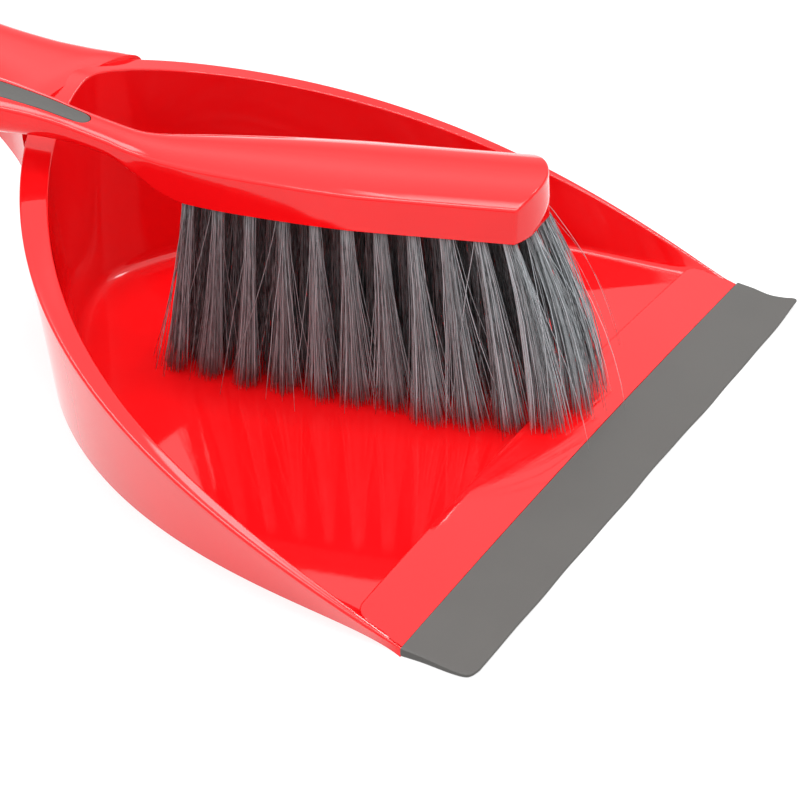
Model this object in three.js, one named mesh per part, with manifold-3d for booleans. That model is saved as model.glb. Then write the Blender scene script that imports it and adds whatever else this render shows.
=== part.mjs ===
// Dustpan with a rubber lip, and its hand brush standing on its bristles in the pan.
// Units are millimetres and +Z is up. The origin is on the ground, at the middle of the pan's
// front edge; +Y runs back along the pan to its handle and +X is to the right of the open front.
import * as THREE from 'three';
import { mergeVertices } from 'three/addons/utils/BufferGeometryUtils.js';
import Module from 'manifold-3d';

const wasm = await Module();
wasm.setup();

// ---------------------------------------------------------------- driving dimensions

const GAP = 0.3; // clearance between two pieces that touch in the real set

// Pan. Control points of Bezier curves for the right-hand half, from the lip to the rear middle.
const BASE_CURVE = [[120.8, 0, 0], [107.3, 38.6, 0], [142.1, 136, 0], [39.7, 216.6, 0], [0, 216.6, 0]];
const RIM_CURVE = [
  [120, 0, 2.5], [119.9, 19.5, 8.1], [135.5, 125.5, 52.5],
  [101.1, 172.7, 54.5], [31, 215.5, 89.8], [0, 215.5, 89.8],
];
const FLANGE_WIDTH = [0.9, 4, 6.4, 11, 11.8]; // flat top of the rim, same direction as the curves
const RIM_STEPS = 30; // points on each half of the pan's outline
const WALL = 2.2;
const FLOOR_TOP = 4;
const FLOOR_UNDER = 1.6; // underside of the floor, raised off the ground by the outer skirt
const FRONT_PAD_DEPTH = 14; // solid strip under the front edge that rests on the ground
const FOOT_RADIUS = { side: 2.6, rear: 8 }; // between floor and inner wall
const RIM_ROUND = 1.8;

// Raised strip across the front of the floor.
const RAMP = { halfWidth: 118, depth: 18.7, bow: 2.4, frontZ: 3, rearZ: 7.4, corner: 6 };

// Rubber lip and the thin tongue of the pan that it is moulded on to.
const LIP = {
  halfWidth: 121.5,
  seamHalfWidth: 120.6,
  depth: 23.2,
  bow: 1.3,
  rearZ: 3,
  frontZ: 1,
  corner: 4.5,
};
const TONGUE = { halfWidth: 112, depth: 5, lowZ: 0.95, highZ: 1.65 };

// Pan handle, hollow from below: [y, half width, top z, depth, height of the arched top].
const PAN_HANDLE = [
  [198, 37, 84.5, 24, 5], [206, 35, 88, 27, 8.5], [213, 30.5, 90.3, 28.5, 10],
  [222, 25.5, 91.4, 27, 9], [236, 20.5, 92.8, 24, 8], [256, 17.6, 94.6, 21, 7],
  [280, 17.5, 96.4, 19.5, 7], [302, 18.8, 97.8, 18.5, 7], [316, 18.4, 98.5, 17.5, 7],
  [325, 16, 98.8, 16.8, 7], [331, 11.5, 98.9, 16, 6.5], [334, 6, 98.4, 14.8, 5],
];
const PAN_HANDLE_SKIN = 2.4;
const PAN_HANDLE_HOLLOW_FROM = 220;
const PAN_HANG_HOLE = { y: 313, radius: 5, stretch: 1.5 };

// Brush. Its own frame: x across, y from the toe back along the handle, z up as in the pan.
const BRUSH_AT = [20, 28.5];
const BRUSH_TURN = 20.3; // degrees, the handle swung to the pan's left
const TOE = { halfWidth: 20.9, bulge: 8.4 };
// [y, half width, z of the side's top edge, z of the bottom, height of the flat side]
const BRUSH_STATIONS = [
  [-2, 20.9, 84, 71.4, 11.6], [24, 20.9, 84, 71.4, 11.6], [60, 21, 84.1, 71.4, 11.7],
  [75, 20, 84.4, 71.4, 12], [90, 18.3, 84.8, 71.4, 12.4], [105, 16.2, 85.1, 71.4, 12.6],
  [120, 13.6, 85.5, 71.6, 12.4], [130, 11.2, 85.9, 73, 10.5], [140, 8.6, 87.2, 77.6, 6.5],
  [150, 7.5, 90.4, 82.6, 3.6], [161, 7.4, 94.1, 85.6, 3.4], [174, 8.6, 98.3, 87.4, 3.8],
  [192, 11.4, 102.4, 88.6, 4.4], [215, 13.4, 105.8, 89.6, 5], [238, 13.6, 107.4, 90.6, 5],
  [260, 12.6, 107.6, 92.2, 4.6], [276, 10, 106.6, 94.8, 4], [284, 6.6, 105.4, 97.4, 3],
  [288, 3, 104.4, 99.6, 2],
];
const BRUSH_CROWN = 2.2; // rise of the top across the block
const BRUSH_FACET = { from: 45, to: 134, width: 4.2, rise: 0.9 }; // long facet above each top edge
const BRUSH_HANG_HOLE = { y: 274, radius: 3.6, stretch: 1.25 };
const GRIP = { from: 156.5, to: 262, startHalf: 3.4, endHalf: 8.4, thickness: 1.6 };

// Tufts. Root rows follow the block's outline; tips spread from the roots.
const TUFT = { hole: 2.5, sides: 8, depth: 8.6, edgeInset: 4.5, midRadius: 2.9 };
const WIDE_ROOTS_Y = [121, 110, 98.5, 87, 76, 65, 54, 43, 32, 21.5, 12];
const INNER_ROOTS_Y = [121, 110, 98.5, 87, 76, 65, 54, 43.5, 33.5, 24, 14.5];
const INNER_ROW = 0.34; // share of the outer rows' distance from the middle
const STAGGERED_ROOTS_Y = [115.5, 104.2, 92.7, 81.5, 70.5, 59.5, 48.5, 37.5, 26.7, 16.4];
const TOE_ROOTS_X = [-9.2, 0.5, 10.5];
const SPLAY = { toe: -17, perLength: 0.19, across: 1.16 };

// ---------------------------------------------------------------- materials

function plastic(name, colour, roughness) {
  return new THREE.MeshStandardMaterial({ name, color: colour, roughness, metalness: 0 });
}

const RED_PLASTIC = plastic('red_plastic', 0xe8191c, 0.25);
const GREY_RUBBER = plastic('grey_rubber', 0x767470, 0.8);
const BRISTLE_FIBRE = plastic('bristle_fibre', 0x57504f, 0.6);

// ---------------------------------------------------------------- geometry helpers

function bezier(points, t) {
  let level = points;
  while (level.length > 1) {
    level = level.slice(1).map((p, i) => p.map((v, k) => level[i][k] * (1 - t) + v * t));
  }
  return level[0];
}

// A column of a table at one y, straight between its rows.
function tableAt(rows, y, column) {
  let i = 1;
  while (i < rows.length - 1 && rows[i][0] < y) i += 1;
  const [a, b] = [rows[i - 1], rows[i]];
  const t = (y - a[0]) / (b[0] - a[0]);
  return a[column] + (b[column] - a[column]) * t;
}

// Joins rings of equal point count into a closed body. Rings run counter-clockwise seen from the
// last ring's side. "ladder" caps join mirrored points, which suits curved U-shaped outlines.
function loft(rings, ladder = false) {
  const count = rings[0].length;
  const faces = [];
  for (let r = 0; r + 1 < rings.length; r += 1) {
    for (let i = 0; i < count; i += 1) {
      const j = (i + 1) % count;
      const [a, b, c, d] = [r * count + i, r * count + j, (r + 1) * count + j, (r + 1) * count + i];
      faces.push([a, b, c], [a, c, d]);
    }
  }
  const last = (rings.length - 1) * count;
  for (const [i, j, k] of ladder ? ladderCap(count) : fanCap(count)) {
    faces.push([k, j, i], [last + i, last + j, last + k]);
  }
  return solid(rings.flat(), faces);
}

function fanCap(count) {
  return Array.from({ length: count - 2 }, (_, i) => [0, i + 1, i + 2]);
}

function ladderCap(count) {
  const faces = [];
  for (let i = 0, j = count - 1; j - i > 1; i += 1, j -= 1) {
    faces.push([i, i + 1, j]);
    if (j - i > 2) faces.push([i + 1, j - 1, j]);
  }
  return faces;
}

function solid(points, faces) {
  let body = new wasm.Manifold(new wasm.Mesh({
    numProp: 3,
    vertProperties: new Float32Array(points.flat()),
    triVerts: new Uint32Array(faces.flat()),
  }));
  if (body.volume() < 0) {
    body = solid(points, faces.map(([a, b, c]) => [a, c, b]));
  }
  return body;
}

function fromGeometry(geometry) {
  const bare = geometry.clone();
  bare.deleteAttribute('normal');
  bare.deleteAttribute('uv');
  const merged = mergeVertices(bare, 1e-4);
  return new wasm.Manifold(new wasm.Mesh({
    numProp: 3,
    vertProperties: new Float32Array(merged.attributes.position.array),
    triVerts: new Uint32Array(merged.index.array),
  }));
}

function toMesh(body, name, material) {
  const data = body.getMesh();
  const geometry = new THREE.BufferGeometry();
  geometry.setAttribute('position', new THREE.BufferAttribute(data.vertProperties, 3));
  geometry.setIndex(new THREE.BufferAttribute(data.triVerts, 1));
  geometry.computeVertexNormals();
  const mesh = new THREE.Mesh(geometry, material);
  mesh.name = name;
  return mesh;
}

function prism(outline, lowZ, highZ) {
  return loft([outline.map(([x, y]) => [x, y, lowZ]), outline.map(([x, y]) => [x, y, highZ])], true);
}

function extruded(shape, lowZ, highZ) {
  const options = { depth: highZ - lowZ, bevelEnabled: false, curveSegments: 8 };
  const geometry = new THREE.ExtrudeGeometry(shape, options);
  return fromGeometry(geometry.translate(0, 0, lowZ));
}

function box(x0, x1, y0, y1, z0, z1) {
  return wasm.Manifold.cube([x1 - x0, y1 - y0, z1 - z0]).translate([x0, y0, z0]);
}

function slotCutter({ y, radius, stretch }, highZ) {
  const round = wasm.Manifold.cylinder(60, radius, radius, 24);
  return round.scale([1, stretch, 1]).translate([0, y, highZ - 60]);
}

// A quarter turn of points about a corner, from one angle to another in degrees.
function arc(cx, cy, radius, from, to, steps = 5) {
  return Array.from({ length: steps + 1 }, (_, i) => {
    const a = THREE.MathUtils.degToRad(from + (to - from) * i / steps);
    return [cx + radius * Math.cos(a), cy + radius * Math.sin(a)];
  });
}

// ---------------------------------------------------------------- pan outline

// Everything the pan's walls need at one step round its right-hand half.
function panStation(i) {
  const t = i / RIM_STEPS;
  const base = bezier(BASE_CURVE, t);
  const rim = bezier(RIM_CURVE, t);
  const flange = bezier(FLANGE_WIDTH.map((v) => [v]), t)[0];
  const rearward = THREE.MathUtils.smoothstep(t, 0.5, 0.85);
  return {
    base, rim, flange,
    baseInward: inward(BASE_CURVE, t),
    rimInward: inward(RIM_CURVE, t),
    footInset: 0.6 + 0.8 * flange,
    footRadius: THREE.MathUtils.lerp(FOOT_RADIUS.side, FOOT_RADIUS.rear, rearward),
  };
}

function inward(curve, t) {
  const step = 1e-3;
  const a = bezier(curve, Math.max(0, t - step));
  const b = bezier(curve, Math.min(1, t + step));
  const length = Math.hypot(b[0] - a[0], b[1] - a[1]);
  return [-(b[1] - a[1]) / length, (b[0] - a[0]) / length];
}

function shifted(point, direction, distance, z) {
  return [point[0] + direction[0] * distance, point[1] + direction[1] * distance, z];
}

// Turns half rings, lip to rear middle, into whole rings from the left lip round to the right one.
function wholeRing(half, extendFront = 0) {
  const start = [...half[0]];
  start[1] -= extendFront;
  const path = extendFront ? [start, ...half] : half;
  const left = path.map(([x, y, z]) => [-x, y, z]);
  return [...left, ...path.slice(0, -1).reverse()];
}

function panRings(stations, pointsAt, extendFront) {
  const columns = stations.map(pointsAt);
  return columns[0].map((_, level) => wholeRing(columns.map((c) => c[level]), extendFront));
}

// ---------------------------------------------------------------- pan

function panOuter(stations) {
  return loft(panRings(stations, ({ base, rim, rimInward, flange }) => {
    const r = Math.min(RIM_ROUND, 0.45 * flange);
    return [
      base,
      shifted(rim, rimInward, 0, rim[2] - r),
      shifted(rim, rimInward, 0.3 * r, rim[2] - 0.3 * r),
      shifted(rim, rimInward, r, rim[2]),
    ];
  }, 3), true);
}

// The room inside the walls. Its wall meets the floor in a radius that widens to the rear.
function panRoom(stations) {
  return loft(panRings(stations, (station) => {
    const { base, baseInward, rim, rimInward, flange, footInset, footRadius } = station;
    const topZ = Math.max(rim[2], FLOOR_TOP + 0.3);
    const foot = shifted(base, baseInward, footInset, FLOOR_TOP);
    const top = shifted(rim, rimInward, flange, topZ);
    const radius = Math.min(footRadius, 0.7 * (topZ - FLOOR_TOP));
    const onFloor = shifted(foot, baseInward, radius, FLOOR_TOP);
    const rise = radius / (topZ - FLOOR_TOP);
    const onWall = foot.map((v, k) => v + (top[k] - v) * rise);
    const curve = [0, 0.33, 0.67, 1].map((t) => bezier([onFloor, foot, onWall], t));
    return [...curve, top, [top[0], top[1], topZ + 8]];
  }, 12), true);
}

// The gap between inner wall and outer skirt, open downwards, where the rim is wide enough.
function rimHollow(stations) {
  const wide = stations.filter(({ flange }) => flange > 2 * WALL + 1.6);
  const sections = wide.map(({ base, baseInward, rim, rimInward, flange, footInset }) => {
    const topZ = rim[2] - WALL;
    return [
      shifted(base, baseInward, WALL, -1),
      shifted(base, baseInward, footInset - WALL, -1),
      shifted(rim, rimInward, flange - WALL, topZ),
      shifted(rim, rimInward, WALL, topZ),
    ];
  });
  const mirrored = sections.slice(0, -1).reverse().map((ring) => ring.map(([x, y, z]) => [-x, y, z]));
  return loft([...sections, ...mirrored]);
}

function floorRecess(stations) {
  const half = stations.map(({ base, baseInward }) => shifted(base, baseInward, WALL + 0.2, 0));
  const outline = prism(wholeRing(half), -1, FLOOR_UNDER);
  return outline.intersect(box(-200, 200, FRONT_PAD_DEPTH, 300, -2, 10));
}

function ramp() {
  const { halfWidth, depth, bow, frontZ, rearZ, corner } = RAMP;
  const right = arc(halfWidth - corner, depth - corner, corner, 0, 90);
  const rear = [];
  for (let x = halfWidth - 2 * corner; x > -halfWidth + 2 * corner; x -= 13) {
    rear.push([x, depth + bow * (1 - (x / (halfWidth - corner)) ** 2)]);
  }
  const left = right.map(([x, y]) => [-x, y]).reverse();
  const shape = new THREE.Shape([[halfWidth, -3], ...right, ...rear, ...left, [-halfWidth, -3]]
    .map(([x, y]) => new THREE.Vector2(x, y)));
  const slope = (rearZ - frontZ) / depth;
  const side = [
    [-4, FLOOR_UNDER],
    [depth + 4, FLOOR_UNDER],
    [depth + 4, rearZ + 4 * slope],
    [-4, frontZ - 4 * slope],
  ];
  const wedge = loft([-130, 130].map((x) => side.map(([y, z]) => [x, y, z])));
  return extruded(shape, 0, 12).intersect(wedge);
}

// Everything forward of the slightly bowed line where the red plastic gives way to the rubber.
function lipSide(offset) {
  const back = [];
  for (let x = -130; x <= 130; x += 13) {
    back.push([x, LIP.bow * (1 - (x / 120) ** 2) + offset]);
  }
  const outline = [...back, [130, -60], [-130, -60]];
  const shape = new THREE.Shape(outline.map(([x, y]) => new THREE.Vector2(x, y)));
  return extruded(shape, -1, 30);
}

function handleRing(y, halfWidth, topZ, depth, arch, inset, floorZ) {
  const w = halfWidth - inset;
  const top = topZ - inset;
  const low = floorZ ?? topZ - depth;
  const right = [0, 18, 36, 54, 72, 90].map((degrees) => {
    const a = THREE.MathUtils.degToRad(degrees);
    return [w * Math.cos(a) ** 0.75, top - arch + arch * Math.sin(a) ** 0.85];
  });
  const left = right.slice(0, -1).map(([x, z]) => [-x, z]).reverse();
  const points = [[w - 0.8, low], ...right, ...left, [-w + 0.8, low]];
  return points.map(([x, z]) => [x, y, z]);
}

function panHandleOuter() {
  return loft(PAN_HANDLE.map(([y, w, top, depth, arch]) => handleRing(y, w, top, depth, arch, 0)));
}

function panHandleHollow() {
  const last = PAN_HANDLE[PAN_HANDLE.length - 1][0] - PAN_HANDLE_SKIN;
  const inside = PAN_HANDLE.map(([y]) => y).filter((y) => y > PAN_HANDLE_HOLLOW_FROM && y < last);
  const ys = [PAN_HANDLE_HOLLOW_FROM, ...inside];
  const rings = [...ys, last].map((y) => handleRing(
    y,
    tableAt(PAN_HANDLE, y, 1),
    tableAt(PAN_HANDLE, y, 2),
    0,
    tableAt(PAN_HANDLE, y, 4),
    PAN_HANDLE_SKIN,
    40,
  ));
  return loft(rings);
}

function tongue() {
  const { halfWidth, depth, lowZ, highZ } = TONGUE;
  return box(-halfWidth, halfWidth, -depth, 3, lowZ, highZ);
}

function panBody() {
  const stations = Array.from({ length: RIM_STEPS + 1 }, (_, i) => panStation(i));
  const room = panRoom(stations);
  const shell = panOuter(stations)
    .add(panHandleOuter().subtract(panOuterBlock(stations)))
    .subtract(rimHollow(stations))
    .subtract(panHandleHollow())
    .subtract(room)
    .subtract(floorRecess(stations))
    .add(ramp())
    .subtract(slotCutter(PAN_HANG_HOLE, 110))
    .subtract(lipSide(GAP))
    .add(tongue());
  return toMesh(shell, 'pan_body', RED_PLASTIC);
}

// The pan's outline carried straight up, so that the handle starts behind the rear wall.
function panOuterBlock(stations) {
  const half = stations.map(({ rim, rimInward }) => shifted(rim, rimInward, 3, 0));
  return prism(wholeRing(half), -1, 84);
}

function panLip() {
  const { halfWidth, seamHalfWidth, depth, rearZ, frontZ, corner } = LIP;
  const right = arc(halfWidth - corner, -depth + corner, corner, -90, 0);
  const left = right.map(([x, y]) => [-x, y]).reverse();
  const outline = [...right, [seamHalfWidth, 4], [-seamHalfWidth, 4], ...left];
  const shape = new THREE.Shape(outline.map(([x, y]) => new THREE.Vector2(x, y)));
  const slope = (rearZ - frontZ) / depth;
  const side = [[-depth - 1, 0], [4, 0], [4, rearZ + 4 * slope], [-depth - 1, frontZ - slope]];
  const wedge = loft([-130, 130].map((x) => side.map(([y, z]) => [x, y, z])));
  const slot = box(
    -TONGUE.halfWidth - GAP,
    TONGUE.halfWidth + GAP,
    -TONGUE.depth - GAP,
    6,
    TONGUE.lowZ - GAP,
    TONGUE.highZ + GAP,
  );
  const body = extruded(shape, 0, 10).intersect(wedge).intersect(lipSide(0)).subtract(slot);
  return toMesh(body, 'pan_lip', GREY_RUBBER);
}

// ---------------------------------------------------------------- brush body

function brushWidthAt(y) {
  return tableAt(BRUSH_STATIONS, y, 1);
}

// One cross-section: rounded underside, flat side, long facet, crowned top.
function brushRing([y, halfWidth, edgeZ, bottomZ, sideHeight]) {
  const { from, to, width, rise } = BRUSH_FACET;
  const along = THREE.MathUtils.clamp((y - from) / (to - from), 0, 1);
  const facet = Math.sin(Math.PI * along);
  const sideLow = edgeZ - sideHeight;
  const squareness = sideLow - bottomZ < 2 ? 0.25 : 1;
  const under = [0, 22.5, 45, 67.5, 90].map((degrees) => {
    const a = THREE.MathUtils.degToRad(degrees);
    return [
      halfWidth * Math.sin(a) ** squareness,
      sideLow - (sideLow - bottomZ) * Math.cos(a) ** squareness,
    ];
  });
  const crown = BRUSH_CROWN * halfWidth / 21;
  const creaseX = halfWidth - 0.4 - width * facet;
  const creaseZ = edgeZ + 0.2 + rise * facet;
  const right = [
    ...under,
    [halfWidth, edgeZ],
    [creaseX, creaseZ],
    [halfWidth * 0.45, edgeZ + crown * 0.8 + 0.2],
    [0, edgeZ + crown + 0.2],
  ];
  const left = right.slice(1, -1).map(([x, z]) => [-x, z]).reverse();
  return [...right, ...left].map(([x, z]) => [x, y, z]);
}

function brushSkin() {
  return loft(BRUSH_STATIONS.map(brushRing));
}

function toeOutline() {
  const { halfWidth, bulge } = TOE;
  const front = [];
  for (let k = -5; k <= 5; k += 1) {
    const x = halfWidth * k / 5;
    front.push([x, bulge * (x / halfWidth) ** 2]);
  }
  const outline = [...front, [30, bulge + 4], [30, 300], [-30, 300], [-30, bulge + 4]];
  return extruded(new THREE.Shape(outline.map(([x, y]) => new THREE.Vector2(x, y))), 60, 120);
}

// Plan shape of the soft inlay on the handle's top, round at both ends.
function gripOutline(grow) {
  const { from, to, startHalf, endHalf } = GRIP;
  const near = arc(0, from + startHalf, startHalf + grow, -180, 0, 8);
  const far = arc(0, to - endHalf, endHalf + grow, 0, 180, 10);
  return extruded(new THREE.Shape([...near, ...far].map(([x, y]) => new THREE.Vector2(x, y))), 60, 130);
}

function brushBody(skin, roots) {
  const recess = gripOutline(GAP).subtract(skin.translate([0, 0, -GRIP.thickness - GAP]));
  const holes = roots.map((root) => tuftHole(root));
  const body = skin
    .intersect(toeOutline())
    .subtract(recess)
    .subtract(slotCutter(BRUSH_HANG_HOLE, 130))
    .subtract(wasm.Manifold.union(holes));
  return toMesh(body, 'brush_body', RED_PLASTIC);
}

function brushGrip(skin) {
  const inlay = skin.intersect(gripOutline(0)).subtract(skin.translate([0, 0, -GRIP.thickness]));
  return toMesh(inlay, 'brush_grip', GREY_RUBBER);
}

// ---------------------------------------------------------------- tufts

// Four rows along the block, each staggered by half a pitch from the next, then the toe.
function tuftRoots() {
  const rows = [
    [-1, WIDE_ROOTS_Y],
    [-INNER_ROW, STAGGERED_ROOTS_Y],
    [INNER_ROW, INNER_ROOTS_Y],
    [1, STAGGERED_ROOTS_Y],
  ];
  const roots = [];
  for (const [share, ys] of rows) {
    for (const y of ys) roots.push([share * (brushWidthAt(y) - TUFT.edgeInset), y]);
  }
  for (const x of TOE_ROOTS_X) roots.push([x, 4.8 + TOE.bulge * (x / TOE.halfWidth) ** 2]);
  return roots.map(([x, y]) => tuftAxis(x, y));
}

// Highest part of the pan's floor under a tuft's tip.
function floorHeightAt(x, y, radius) {
  const turn = THREE.MathUtils.degToRad(BRUSH_TURN);
  const panY = BRUSH_AT[1] + x * Math.sin(turn) + y * Math.cos(turn);
  const crest = RAMP.depth + RAMP.bow;
  const onRamp = RAMP.frontZ + (RAMP.rearZ - RAMP.frontZ) * Math.min(panY + radius, crest) / RAMP.depth;
  return panY - radius < crest ? onRamp : FLOOR_TOP;
}

function tuftAxis(x, y) {
  const mouthZ = Math.max(tableAt(BRUSH_STATIONS, y, 3), 71.4);
  const tipX = x * SPLAY.across;
  const tipY = y + SPLAY.toe + (SPLAY.perLength + 0.03) * y;
  const nearHeel = THREE.MathUtils.clamp((y - 70) / 50, 0, 1);
  const tipRadius = 4.3 - 0.9 * nearHeel;
  const lean = new THREE.Vector3(tipX - x, tipY - y, 0);
  const tilt = Math.atan2(lean.length(), mouthZ - FLOOR_TOP);
  const tipZ = floorHeightAt(tipX, tipY, tipRadius) + GAP + tipRadius * Math.sin(tilt);
  return {
    mouth: new THREE.Vector3(x, y, mouthZ),
    tip: new THREE.Vector3(tipX, tipY, tipZ),
    tipRadius,
  };
}

// Rotation that carries +Z on to the line from a tuft's tip to its root.
function tuftTurn({ mouth, tip }) {
  const up = mouth.clone().sub(tip).normalize();
  return new THREE.Quaternion().setFromUnitVectors(new THREE.Vector3(0, 0, 1), up);
}

function turned(profile, quaternion, origin) {
  const { sides } = TUFT;
  return loft(profile.map(([radius, along]) => Array.from({ length: sides }, (_, k) => {
    const a = 2 * Math.PI * k / sides;
    const p = new THREE.Vector3(radius * Math.cos(a), radius * Math.sin(a), along);
    return p.applyQuaternion(quaternion).add(origin).toArray();
  })));
}

function tuftHole(root) {
  const { hole, depth } = TUFT;
  return turned([[hole, -4], [hole, depth + GAP]], tuftTurn(root), root.mouth);
}

function tuftMesh(root, index) {
  const { hole, depth, midRadius } = TUFT;
  const length = root.mouth.distanceTo(root.tip);
  const neck = hole - GAP;
  const profile = [
    [root.tipRadius * 0.72, -length],
    [root.tipRadius, -length + 2.2],
    [midRadius, -length * 0.45],
    [neck, -1],
    [neck, depth],
  ];
  const body = turned(profile, tuftTurn(root), root.mouth);
  return toMesh(body, `tuft_${String(index + 1).padStart(2, '0')}`, BRISTLE_FIBRE);
}

function brush() {
  const group = new THREE.Group();
  group.name = 'brush';
  const roots = tuftRoots();
  const skin = brushSkin();
  group.add(brushBody(skin, roots), brushGrip(skin));
  roots.forEach((root, index) => group.add(tuftMesh(root, index)));
  group.position.set(BRUSH_AT[0], BRUSH_AT[1], 0);
  group.rotation.z = THREE.MathUtils.degToRad(BRUSH_TURN);
  return group;
}

function dustpanAndBrush() {
  const group = new THREE.Group();
  group.name = 'dustpan_and_brush';
  group.add(panBody(), panLip(), brush());
  return group;
}

export default dustpanAndBrush();
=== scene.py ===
"""Dustpan and hand brush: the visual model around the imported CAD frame.

Lengths of the pieces are millimetres, in the frame of the CAD: the origin is on the ground at the
middle of the pan's front edge, +Y runs back to the pan's handle, +X to its right and +Z up.
Meshes are made in millimetres and stored in metres. The camera and the lights are in metres.
"""
import math
import bmesh
import bpy
import numpy as np
from mathutils import Matrix, Vector


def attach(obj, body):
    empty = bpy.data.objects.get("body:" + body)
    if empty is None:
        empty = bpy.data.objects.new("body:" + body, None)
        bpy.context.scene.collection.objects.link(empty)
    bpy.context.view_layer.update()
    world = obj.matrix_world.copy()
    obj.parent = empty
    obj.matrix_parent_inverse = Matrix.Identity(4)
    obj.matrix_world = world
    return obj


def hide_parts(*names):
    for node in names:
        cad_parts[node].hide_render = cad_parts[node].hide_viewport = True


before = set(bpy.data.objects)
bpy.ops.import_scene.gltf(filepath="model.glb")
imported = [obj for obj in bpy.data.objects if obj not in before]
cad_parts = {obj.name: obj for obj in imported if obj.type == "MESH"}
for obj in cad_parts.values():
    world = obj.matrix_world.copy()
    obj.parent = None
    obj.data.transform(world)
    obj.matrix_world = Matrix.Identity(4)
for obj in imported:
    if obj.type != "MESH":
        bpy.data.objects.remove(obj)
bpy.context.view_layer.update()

MM = 0.001
WELD = 0.004  # points of one mesh that are closer than this become one
GAP = 0.3  # clearance between neighbouring pieces

# ---------------------------------------------------------------- driving dimensions

# Outlines, heights and places are the CAD's. Roundings, crown, tilt and drafts are this model's own.

# Pan: control points of Bezier curves for the right-hand half, from the lip to the rear middle.
BASE_CURVE = [[120.8, 0, 0], [107.3, 38.6, 0], [142.1, 136, 0], [39.7, 216.6, 0], [0, 216.6, 0]]
RIM_CURVE = [[120, 0, 2.5], [119.9, 19.5, 8.1], [135.5, 125.5, 52.5], [101.1, 172.7, 54.5],
             [31, 215.5, 89.8], [0, 215.5, 89.8]]
FLANGE_WIDTH = [[0.9], [4], [6.4], [11], [11.8]]
WALL = 2.2
FLOOR_TOP = 4.0
FLOOR_UNDER = 1.6
FRONT_PAD_DEPTH = 14.0
SKIRT_FOOT = 0.9  # width the skirt stands on
FOOT_INSET, FOOT_INSET_SHARE = 0.6, 0.8  # inner wall's foot: inset, plus a share of the rim's width
FOOT_RADIUS_SIDE, FOOT_RADIUS_REAR = 2.6, 5.5  # between floor and inner wall
HOLLOW_FROM, HOLLOW_EASE = 5.6, 1.4  # rim width where the double wall begins, and its transition
RIM_ROUND = 0.9
INNER_ROUND = 0.7
FLANGE_TILT = 0.22  # rise of the rim's inner edge along the sides, as a share of its width
TILT_IN, TILT_END, TILT_OUT = 0.06, 0.44, 0.22  # along the outline: where it comes and goes
FRONT_BOW, BOW_DEPTH = 1.3, 25  # of the front edge, and how far back the bow is felt
FRONT_HALF = 120.0

RAMP_HALF = 118.0
RAMP_DEPTH = 18.7
RAMP_BOW = 2.4
RAMP_FRONT_Z = 3.0
RAMP_REAR_Z = 7.4
RAMP_CORNER = 6.0
RAMP_ROUND = 0.9  # of its rear edge

LIP_DEPTH = 23.4
LIP_REAR_Z = 3.0
LIP_FRONT_Z = 1.0
# The lip's two ends: distance in front of its rear edge, and x there. They are a little wavy.
LIP_LEFT_END = [
    [0, -120.6], [8, -119.9], [14.8, -119.8], [19, -119.5], [21.4, -118.9], [22.7, -117.4],
    [23.4, -114.6],
]
LIP_RIGHT_END = [
    [0, 121.3], [5.4, 121.4], [13.3, 120.4], [19, 121.3], [22, 122.3], [22.9, 122.1],
    [23.4, 121.2],
]

# Pan handle: y, half width, top z, depth, height of the arched top.
PAN_HANDLE = [
    [208, 33.8, 88.8, 27.4, 9.0], [213, 30.5, 90.3, 28.5, 10], [222, 25.5, 91.4, 27, 9],
    [236, 20.5, 92.8, 24, 8], [256, 17.6, 94.6, 21, 7], [280, 17.5, 96.4, 19.5, 7],
    [302, 18.8, 97.8, 18.5, 7], [316, 18.4, 98.5, 17.5, 7], [325, 16, 98.8, 16.8, 7],
    [331, 11.5, 98.9, 16, 6.5], [334, 6, 98.4, 14.8, 5],
]
PAN_SKIN = 2.4
PAN_HANG_HOLE = (0.0, 313.0, 5.0, 1.5)  # x, y, radius, stretch along y
PAN_HOLE_LOW, PAN_HOLE_TOP = 50, 98.3
HOLE_SIDES = 48
# Flared mouth of a hanging hole: height from its top, and how much wider the hole is there.
HOLE_MOUTH = [(-1.6, 0.0), (-0.9, 0.25), (-0.3, 0.8), (0.4, 1.8), (6, 7.5)]

# Brush, in its own frame: x across, y from the toe back along the handle.
BRUSH_AT = (20.0, 28.5)
BRUSH_TURN = math.radians(20.3)
TOE_BULGE = 8.4
TOE_HALF = 20.9
TOE_DRAFT = 0.9
# y, half width, z of the side's top edge, z of the bottom, height of the flat side.
BRUSH_STATIONS = [
    [0, 20.9, 84, 71.4, 11.6], [24, 20.9, 84, 71.4, 11.6], [60, 21, 84.1, 71.4, 11.7],
    [75, 20, 84.4, 71.4, 12], [90, 18.3, 84.8, 71.4, 12.4], [105, 16.2, 85.1, 71.4, 12.6],
    [120, 13.6, 85.5, 71.6, 12.4], [130, 11.2, 85.9, 73, 10.5], [140, 8.6, 87.2, 77.6, 6.5],
    [150, 7.5, 90.4, 82.6, 3.6], [161, 7.4, 94.1, 85.6, 3.4], [174, 8.6, 98.3, 87.4, 3.8],
    [192, 11.4, 102.4, 88.6, 4.4], [215, 13.4, 105.8, 89.6, 5], [238, 13.6, 107.4, 90.6, 5],
    [260, 12.6, 107.6, 92.2, 4.6], [276, 10, 106.6, 94.8, 4], [284, 6.6, 105.4, 97.4, 3],
    [288, 3, 104.4, 99.6, 2],
]
BRUSH_CROWN = 3.0
CROWN_POWER = 2.8
CROWN_STEPS = 13  # points over the crown, from its edge to the middle
EDGE_ROUND = 1.3
UNDER_SQUARE, ROUND_MORE = 0.22, 0.78  # power of the underside's corners, where square and round
BLOCK_HALF = 21
BLOCK_BOTTOM, BLOCK_HEIGHT = 71.4, 12.6  # up to the top edge of its side
SIDE_DRAFT = 0.8  # how much narrower the block is at its top edge, each side
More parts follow.
